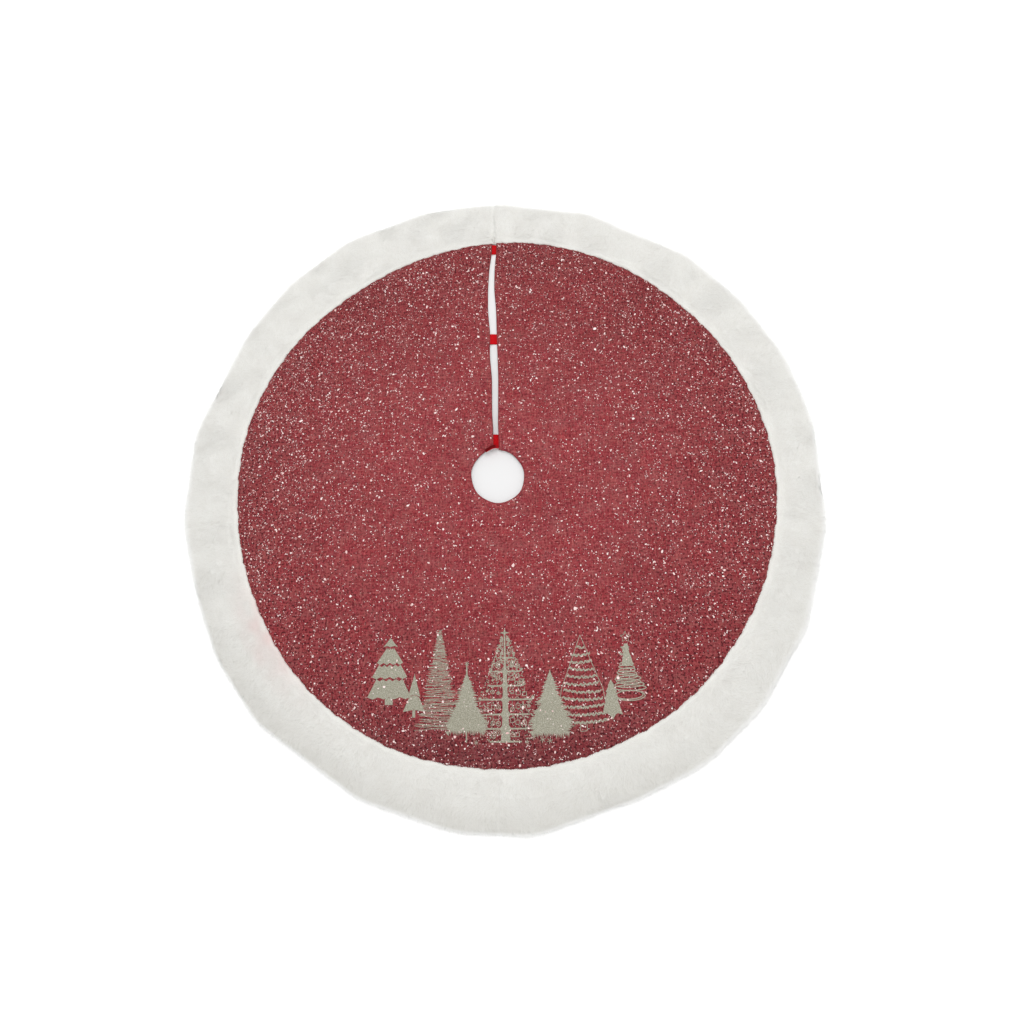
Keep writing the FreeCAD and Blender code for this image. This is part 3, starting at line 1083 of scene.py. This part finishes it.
def border_height(x, y, from_seam, from_hem):
    """The pile's skin: a low rolled lip at the seam, a groove, a broad crown, the roll down to the hem."""
    lip = round_over(from_seam, 8 * MM)
    rise = smooth_step(from_seam, 7 * MM, 46 * MM)
    groove = bell(from_seam - 12.5 * MM, 4.5 * MM)
    crown = FUR_TOP - SEAM_FOOT - 8.6 * MM
    top = SEAM_FOOT + 4.3 * MM * lip + crown * rise - 0.7 * MM * groove
    top = top + (0.8 * MM * ripple(x, y, 0.12, 41) + 0.45 * MM * ripple(x, y, 0.04, 42) - dents(x, y)) * lip
    return HEM_FOOT + (top - HEM_FOOT) * round_over(from_hem, 15 * MM, 2.4)


def slit_line(radius):
    """The x of the slit through the border, which wanders to the right on its way out."""
    return (3.6 * smooth_step(radius, 0.52, 0.60) + 0.7 * np.sin(radius / 0.011) - 0.4) * MM


def border_base(start, end):
    """Grid of points over one strip: rows across it from the face's seam over the crown and under the hem."""
    columns = int(math.radians(abs(end - start)) * BORDER_MIDDLE / BORDER_COLUMN)
    bearing = np.radians(np.linspace(start, end, columns))[None, :]
    inner = seam_radius(bearing) + np.array(FROM_SEAM)[:, None] * MM
    hem = hem_radius(bearing) - HEM_INSET
    outer = hem - np.array(FROM_HEM)[:, None] * MM
    radius = np.concatenate([inner, outer])
    under = np.concatenate([hem - 8 * MM, hem - 17 * MM])
    every = np.concatenate([radius, under])
    bearing = np.broadcast_to(bearing, every.shape).copy()
    for column, edge in ((0, start), (-1, end)):
        if edge in SLIT_BEARINGS:
            gap = BORDER_GAP * (0.25 if edge == 450 else -0.25) + slit_line(every[:, column])
            bearing[:, column] = math.radians(edge) - gap / every[:, column]
    x, y = every * np.cos(bearing), every * np.sin(bearing)
    z = border_height(x[:-2], y[:-2], radius - inner[:1], hem - radius)
    for edge in (start, end):
        away = np.abs(bearing[:-2] - math.radians(edge)) * radius
        if edge in SLIT_BEARINGS:
            depth = 0.14 + 0.5 * smooth_step(-radius, -0.524, -0.511) + 0.1 * smooth_step(radius, 0.565, 0.60)
            sunk = depth * bell(away, 2.6 * MM)
        else:
            sunk = 0.13 * bell(away, 4 * MM)
        z = HEM_FOOT + (z - HEM_FOOT) * (1 - sunk)
    z = np.concatenate([z, np.full((2, columns), 0.8 * MM)])
    across = np.concatenate([radius - inner[:1], np.full((2, columns), 1.0)])
    return np.stack([x, y, z], -1), across, hem - inner[:1]


def blush(x, y):
    """A faint pink stain along the front left, where the face's dye has caught the pile."""
    bearing = np.arctan2(y, x)
    around = bell(np.degrees(bearing) % 360 - 215, 10.5)
    outwards = (np.hypot(x, y) - seam_radius(bearing)) / (50 * MM)
    patchy = 0.8 + 0.3 * ripple(x, y, 0.03, 44)
    return np.clip(around * np.clip(1 - outwards, 0, 1) * patchy, 0, 1)


def hem_tone(x, y):
    """Two attributes of the pile near the hem: painted light that makes its edge paler, in a narrower band
    along the shaded front, and painted shade on its roll along the front.
    """
    bearing, radius = np.arctan2(y, x), np.hypot(x, y)
    from_hem = hem_radius(bearing) - HEM_INSET - radius
    front = smooth_step(-np.sin(bearing) - 0.25 * np.cos(bearing), 0.4, 0.9)
    painted_hem_light = smooth_step(-from_hem, (8 * front - 14) * MM, -1 * MM)
    return painted_hem_light, front * smooth_step(-from_hem, -60 * MM, -9 * MM)


def grid_corners(grid):
    """The four corners of every cell of a grid of points."""
    return grid[:-1, :-1], grid[:-1, 1:], grid[1:, 1:], grid[1:, :-1]


def cell_points(grid, cell, u, v):
    """Points inside the given cells of a grid, at the shares u and v of their sides."""
    a, b, c, d = (corner.reshape(-1, 3)[cell] for corner in grid_corners(grid))
    return (a * (1 - u) + d * u) * (1 - v) + (b * (1 - u) + c * u) * v


def tufts(grid, across, width, draw):
    """Leaf-shaped tufts of pile over the grid: points, triangles, normals, tip nearness, random shade."""
    a, b, c, d = grid_corners(grid)
    facing = np.cross(c - a, b - d)
    area = np.linalg.norm(facing, axis=-1) / 2
    top = across[:-1, :-1] < 0.9
    weight = (area * top).ravel()
    count = int(weight.sum() * TUFTS_PER_SQUARE_METRE)
    cell = draw.choice(len(weight), count, p=weight / weight.sum())
    root = cell_points(grid, cell, *draw.uniform(0, 1, (2, count, 1)))
    normal = facing.reshape(-1, 3)[cell]
    normal /= np.linalg.norm(normal, axis=1)[:, None]
    normal *= np.where(normal[:, 2:] < -0.2, -1, 1)
    from_seam = across[:-1, :-1].ravel()[cell]
    from_hem = np.broadcast_to(width, across[:-1].shape)[:, :-1].ravel()[cell] - from_seam
    radial = np.stack([root[:, 0], root[:, 1], 0 * from_seam], -1)
    radial /= np.linalg.norm(radial, axis=1)[:, None]
    along = np.stack([-radial[:, 1], radial[:, 0], 0 * from_seam], -1)
    swirl = 0.8 * ripple(root[:, 0], root[:, 1], 0.10, 43) + 0.4 * draw.normal(0, 1, count)
    outwards = smooth_step(from_seam, 1 * MM, 14 * MM)
    to_slit = slit_line(np.abs(root[:, 1])) - root[:, 0]
    over_slit = smooth_step(-np.abs(to_slit), -7 * MM, -1 * MM) * (root[:, 1] > 0.522)
    lean = radial * (outwards * np.cos(swirl))[:, None] + along * np.sin(swirl)[:, None]
    lean[:, 0] += 1.6 * over_slit * np.sign(to_slit)
    lean -= normal * (lean * normal).sum(1)[:, None]
    lean /= np.linalg.norm(lean, axis=1)[:, None] + 1e-9
    side = np.cross(lean, normal)
    near_seam = smooth_step(from_seam, 0, 12 * MM)
    near_hem = smooth_step(-from_hem, -9 * MM, 0)
    stray = draw.uniform(0, 1, count) < 0.12
    length = TUFT_LENGTH * (0.45 + 0.55 * near_seam) * np.exp(draw.normal(0, 0.16, count))
    length = (length * np.where(stray, 1.25, 1 - 0.35 * near_hem))[:, None]
    lift = np.radians(draw.uniform(8, 24, count) + np.where(stray, 16, 0))[:, None]
    middle = root + length * 0.5 * (lean * np.cos(lift) + normal * np.sin(lift))
    tip = middle + length * 0.5 * (lean + normal * 0.02) + side * draw.normal(0, 0.1, (count, 1)) * length
    wide = side * TUFT_HALF_WIDTH * draw.uniform(0.7, 1.2, (count, 1))
    points = np.stack([root - wide, root + wide, middle - wide * 0.85, middle + wide * 0.85, tip], 1)
    points[..., 2] = np.maximum(points[..., 2], 0.4 * MM)
    first = np.arange(count)[:, None, None] * 5
    leaf = np.array([[[0, 1, 3], [0, 3, 2], [2, 3, 4]]])
    nearness = np.tile([0.0, 0.0, 0.6, 0.6, 1.0], count)
    shade = np.repeat(draw.uniform(0, 1, count), 5)
    own = np.cross(side, lean * np.cos(lift) + normal * np.sin(lift))
    own *= np.sign((own * normal).sum(1))[:, None]
    soft = np.repeat(TUFT_SOFTNESS * normal + (1 - TUFT_SOFTNESS) * own, 5, axis=0)
    return points.reshape(-1, 3), (first + leaf).reshape(-1, 3), soft, nearness, shade


def border_strip(place, materials, seed):
    """One strip of plush: its skin, the tufts on it, and the backing where it turns under."""
    start, end = SEAMS[place]
    grid, across, width = border_base(start, end)
    rows, columns = across.shape
    base = grid.reshape(-1, 3)
    draw = np.random.default_rng(seed)
    hair, triangles, soft, nearness, shade = tufts(grid, across, width, draw)
    points = np.concatenate([base, hair])
    # Painted light at the hem's edge and painted shade on the roll along the front.
    painted_hem_light, grubby = hem_tone(points[:, 0], points[:, 1])
    values = {
        "painted_hem_light": painted_hem_light,
        "grubby": grubby,
        "tip": np.concatenate([np.full(len(base), 0.3), nearness]),
        "shade": np.concatenate([np.full(len(base), 0.5), shade]),
        "blush": blush(points[:, 0], points[:, 1]),
    }
    quads = grid_quads(rows, columns)[:, ::-1]
    polygons = [quads, triangles + len(base)]
    strip = make_mesh(f"plush_border_{place}", points, polygons, materials[0], points[:, :2], values)
    strip.data.materials.append(materials[1])
    under = (np.arange(len(quads)) // (columns - 1)) >= rows - 3
    index = np.concatenate([under.astype(np.int32), np.zeros(len(triangles), np.int32)])
    strip.data.polygons.foreach_set("material_index", index)
    normals = np.zeros((len(points), 3), np.float32)
    strip.data.vertex_normals.foreach_get("vector", normals.ravel())
    normals[len(base):] = soft / np.linalg.norm(soft, axis=1)[:, None]
    strip.data.normals_split_custom_set_from_vertices(normals)
    return strip


# ---------------------------------------------------------------- tape, patches, label, thread

# Half of a tape's cross-section, from one edge round to the other, as shares of its width and thickness
TAPE_SECTION = [(-0.5, -0.3), (-0.48, -0.5), (0, -0.5), (0.48, -0.5), (0.5, -0.3)]


def strip_solid(name, centre, across, thickness, material):
    """A flat tape swept along centre, a list of points, with a rounded edge; across is its width vector."""
    centre, across = np.asarray(centre, float), np.asarray(across, float)
    ahead = np.gradient(centre, axis=0)
    up = np.cross(ahead, across)
    up /= np.linalg.norm(up, axis=1)[:, None]
    shape = TAPE_SECTION + [(-u, -v) for u, v in TAPE_SECTION]
    rings = np.stack([centre + across * u + up * thickness * v for u, v in shape], 1)
    rows, columns = rings.shape[:2]
    along = np.concatenate([[0], np.cumsum(np.linalg.norm(np.diff(centre, axis=0), axis=1))])
    width = np.linalg.norm(across)
    uv = np.stack([np.repeat(along, columns), np.tile([u * width for u, _ in shape], rows)], -1)
    return make_mesh(name, rings.reshape(-1, 3), tube_faces(rows, columns), material, uv)


def tape_path(place):
    """Down from the left lining, across the gap and under the right patch."""
    left, right = slit_edges(np.array(TAB_Y[place]))
    high = TAPE_HIGH.z - 0.6 * MM
    low = TAPE_LOW.z + 0.7 * MM
    x = np.linspace(TAPE_LOW.x, TAPE_HIGH.x, 30)
    z = high + (low - high) * smooth_step(x, left + 3 * MM, right - 1 * MM)
    return x, z


def rim_curl(thickness, material):
    """The inner tab's loose end: it turns left below the flap's corner and cups upwards past the rim."""
    along = np.linspace(0, 1, 16)
    x = (4.6 - 26.0 * along) * MM
    y = (57.4 - 3.8 * along - 7.9 * along ** 2) * MM
    z = (3.8 + 8.0 * smooth_step(along, 0, 0.5)) * MM
    half_wide = (4.0 - 1.2 * along - 0.8 * (2 * along - 1) ** 8) * MM
    ahead = np.stack([np.gradient(x), np.gradient(y)], -1)
    ahead /= np.linalg.norm(ahead, axis=1)[:, None]
    out = np.stack([ahead[:, 1], -ahead[:, 0]], -1)
    ribs = np.linspace(-1, 1, 9)
    rows, painted_highlight = [], []
    for skin in (-0.5, 0.5):
        for rib in (ribs if skin < 0 else ribs[::-1]):
            cup = 2.4 * MM * rib ** 2
            reach = rib * half_wide
            place = [x + out[:, 0] * reach, y + out[:, 1] * reach, z + cup + skin * thickness]
            rows.append(np.stack(place, -1))
            # Painted highlight along the curl's lower edge and over its right end.
            painted_highlight.append(np.maximum(smooth_step(-rib, 0.3, 0.9), 0.8 * smooth_step(-along, -0.34, -0.1)))
    points = np.stack(rows, 1)
    polygons = tube_faces(*points.shape[:2])
    points = points.reshape(-1, 3)
    painted_highlight = {"painted_highlight": np.stack(painted_highlight, 1).ravel()}
    return make_mesh("closure_tab_inner_curl", points, polygons, material, points[:, :2] + 0.01, painted_highlight)


def stitch_run(runs, length, gap, radius):
    """Stitches along straight runs: small six-sided rods with tapered ends, as points and polygons."""
    sides, rings = 6, ((0, 0.5), (0.15, 1), (0.85, 1), (1, 0.5))
    up = np.array([0, 0, 1])
    points = []
    for start, end in runs:
        start, end = np.array(start, float), np.array(end, float)
        reach = np.linalg.norm(end - start)
        ahead = (end - start) / reach
        side = np.cross(ahead, up)
        for k in range(max(1, int(reach / (length + gap)))):
            a = start + ahead * (k * (length + gap))
            for share, size in rings:
                spot = a + ahead * length * share
                for n in range(sides):
                    angle = n / sides * TURN
                    points.append(spot + radius * size * (side * math.cos(angle) + up * math.sin(angle)))
    first = np.arange(0, len(points), len(rings) * sides)[:, None, None]
    quads, caps = tube_faces(len(rings), sides)
    return np.array(points), [(first + quads).reshape(-1, 4), (first + caps).reshape(-1, sides)]


def box_stitch(x0, x1, y0, y1, z):
    """The runs of a box of stitches with a cross in it."""
    corners = [(x0, y0, z), (x1, y0, z), (x1, y1, z), (x0, y1, z)]
    runs = [(corners[k], corners[(k + 1) % 4]) for k in range(4)]
    return runs + [(corners[0], corners[2]), (corners[1], corners[3])]


# ---------------------------------------------------------------- putting it together

LINING_INSET = 13 * MM      # how far the lining stops short of the hem


def fold_with_cloth(piece):
    """Bakes the piece's placement into its mesh."""
    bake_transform(piece)


def make_cloth():
    """The three layers, each one sheet that stands for both halves of its CAD layer."""
    face = cloth_sheet(
        "face_panel_cloth", lambda b: seam_radius(b) + 1.5 * MM, face_height, 4 * MM, face_fabric(), up=True)
    fold_with_cloth(face)
    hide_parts("face_panel_left", "face_panel_right")
    inner = cloth_sheet(
        "interlining_cloth", lambda b: seam_radius(b) - 4 * MM,
        lambda x, y: 0.5 * (face_height(x, y) + lining_height(x, y)),
        14 * MM, wadding(), up=True, inset=3 * MM)
    fold_with_cloth(inner)
    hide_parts("interlining_left", "interlining_right")
    lining = cloth_sheet(
        "lining_cloth", lambda b: hem_radius(b) - LINING_INSET, lining_height, 7 * MM, lining_fabric(),
        up=False, let_out=42 * MM)
    fold_with_cloth(lining)
    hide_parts("lining_left", "lining_right")
    return face, inner, lining


def make_print():
    """The trees and the flecks, which are laid on the face."""
    trees, solid = printed_trees(glitter_print())
    paint = fleck_paint()
    flecks = fleck_mesh(
        "printed_flecks", FLECKS, 1.95 * MM, spread=0.34, seed=5, lift=0.24 * MM, material=paint, solid=solid)
    dust = fleck_mesh(
        "printed_dust", DUST, 1.1 * MM, spread=0.3, seed=6, lift=0.16 * MM, material=paint, solid=solid)
    for piece in (trees, flecks, dust):
        fold_with_cloth(piece)


def make_border():
    """The four strips: the front two stay unparented, the back two ride on their half."""
    materials = (plush_fur(), fur_backing())
    for k, place in enumerate(SEAMS):
        strip = border_strip(place, materials, seed=50 + k)
        if place.startswith("front"):
            fold_with_cloth(strip)
        else:
            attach(strip, "left_half" if place.endswith("left") else "right_half")
        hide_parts(f"fur_{place}")


def make_closures():
    """The tabs and their patches, the inner tab's curled end, and the stitches that hold them."""
    loop = tape("loop_tape", linear(186, 6, 16), linear(224, 16, 30), pile=0.6)
    # The hook tape's dark red is partly its own colour and partly painted shade, matched to the inner tab's
    # curled end where it lies in the flap's shadow.
    hook = tape("hook_tape", linear(84, 2, 9), linear(124, 6, 15), pile=1.4)
    thread = sewing_thread("red_thread", linear(150, 22, 32))
    width = TAPE_HIGH.y - TAPE_LOW.y
    runs = {"tab": [], "patch": []}
    for place, y in TAB_Y.items():
        x, z = tape_path(place)
        centre = np.stack([x, np.full_like(x, y), z], -1)
        tab = strip_solid(f"closure_tab_{place}_tape", centre, (0, width, 0), 1.1 * MM, loop)
        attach(tab, f"tab_{place}")
        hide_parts(f"closure_tab_{place}")
        low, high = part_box(f"closure_patch_{place}")
        x = np.linspace(low.x, high.x, 8)
        centre = np.stack([x, np.full_like(x, y), np.full_like(x, (low.z + high.z) / 2)], -1)
        patch = strip_solid(f"closure_patch_{place}_tape", centre, (0, width, 0), high.z - low.z, hook)
        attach(patch, "right_half")
        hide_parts(f"closure_patch_{place}")
        margin = 2 * MM
        sides = y - width / 2 + margin, y + width / 2 - margin
        runs["tab"] += box_stitch(TAPE_LOW.x + margin, -15 * MM, *sides, TAPE_HIGH.z - 1.25 * MM)
        runs["patch"] += box_stitch(low.x + margin, high.x - margin, *sides, low.z)
    curl = rim_curl(thickness=1.0 * MM, material=hook)
    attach(curl, "tab_inner")
    for key, body in (("tab", "left_half"), ("patch", "right_half")):
        points, polygons = stitch_run(runs[key], length=2.4 * MM, gap=0.6 * MM, radius=0.22 * MM)
        seam = make_mesh(f"{key}_stitches", points, polygons, thread, points[:, :2])
        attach(seam, body)


def make_label():
    """A blank ribbon that sags a little under the lining."""
    low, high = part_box("care_label")
    x = np.linspace(low.x, high.x, 12)
    z = low.z - 0.4 * MM * np.sin(np.linspace(0, math.pi, 12)) + 0.1 * MM
    centre = np.stack([x, np.full_like(x, (low.y + high.y) / 2), z], -1)
    label = strip_solid("care_label_blank", centre, (0, high.y - low.y, 0), 0.3 * MM, label_satin())
    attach(label, "left_half")
    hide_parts("care_label")


def make_seam_thread():
    """Overlock stitches where the face is sewn to the border, from the slit's one side to the other."""
    thread = sewing_thread("seam_thread", linear(150, 86, 74))
    spacing, slant = 0.0056, 0.0022
    runs = []
    bearing = math.radians(91.2)
    while bearing < math.radians(448.8):
        low, high = seam_radius(bearing) - 0.9 * MM, seam_radius(bearing) + 1.3 * MM
        ahead = bearing + slant
        a = (low * math.cos(bearing), low * math.sin(bearing))
        b = (high * math.cos(ahead), high * math.sin(ahead))
        z = float(face_height(np.array(a[0]), np.array(a[1])))
        runs.append(((*a, z + 0.15 * MM), (*b, z + 1.1 * MM)))
        bearing += spacing
    points, polygons = stitch_run(runs, length=2.5 * MM, gap=0.0, radius=0.3 * MM)
    seam = make_mesh("seam_stitches", points, polygons, thread, points[:, :2])
    fold_with_cloth(seam)


# The camera looks down from about 1.1 m, a little in front of the trunk hole
CAMERA_LENS = 21.1
CAMERA_PLACE = (0.0874, -0.3494, 1.0740)
CAMERA_AIM = (0.0262, -0.0702, 0.0)
CAMERA_ROLL = -13.7


def look_at(thing, place, aim, roll=0.0):
    """Puts a light or the camera at place and turns it to aim, then by roll degrees about its own view."""
    facing = (Vector(aim) - Vector(place)).to_track_quat("-Z", "Y")
    thing.location = place
    thing.rotation_mode = "QUATERNION"
    thing.rotation_quaternion = facing @ Quaternion((0, 0, 1), math.radians(roll))


def area_light(name, place, size, power, colour):
    """A square light that faces the origin."""
    data = bpy.data.lights.new(name, "AREA")
    data.size, data.energy, data.color = size, power, colour
    light = bpy.data.objects.new(name, data)
    bpy.context.scene.collection.objects.link(light)
    look_at(light, place, (0, 0, 0))


def make_studio():
    """The camera, a pale floor with painted shadow that greys it under the skirt, and soft light from above.
    """
    scene = bpy.context.scene
    data = bpy.data.cameras.new("camera")
    data.lens = CAMERA_LENS
    camera = bpy.data.objects.new("camera", data)
    scene.collection.objects.link(camera)
    look_at(camera, CAMERA_PLACE, CAMERA_AIM, CAMERA_ROLL)
    scene.camera = camera
    s = Shader("studio_floor")
    corners = np.array([(-9, -9, 0), (9, -9, 0), (9, 9, 0), (-9, 9, 0)], float)
    # Painted shadow: the floor is greyer under the skirt and brightest away from it.
    from_middle = s.ramp(s.from_axis(), 0.01, 0.38)
    s.put(s.surface.inputs["Specular IOR Level"], 0.2)
    paper = s.finish(s.mix(from_middle, linear(233, 233, 234), (0.985, 0.985, 0.985, 1)), 0.9)
    floor = make_mesh("studio_floor", corners, [np.array([[0, 1, 2, 3]])], paper, corners[:, :2])
    world = bpy.data.worlds.new("studio")
    world.use_nodes = True
    world.node_tree.nodes["Background"].inputs[0].default_value = (1.0, 0.998, 0.992, 1)
    world.node_tree.nodes["Background"].inputs[1].default_value = 0.90 * STUDIO_LIGHT
    scene.world = world
    area_light("key", (0.2, 0.6, 2.5), 1.5, 19, (1.0, 0.995, 0.985))
    scene.view_settings.view_transform = "Standard"


face, inner, lining = make_cloth()
make_print()
make_border()
make_seam_thread()
make_closures()
make_label()
make_studio()
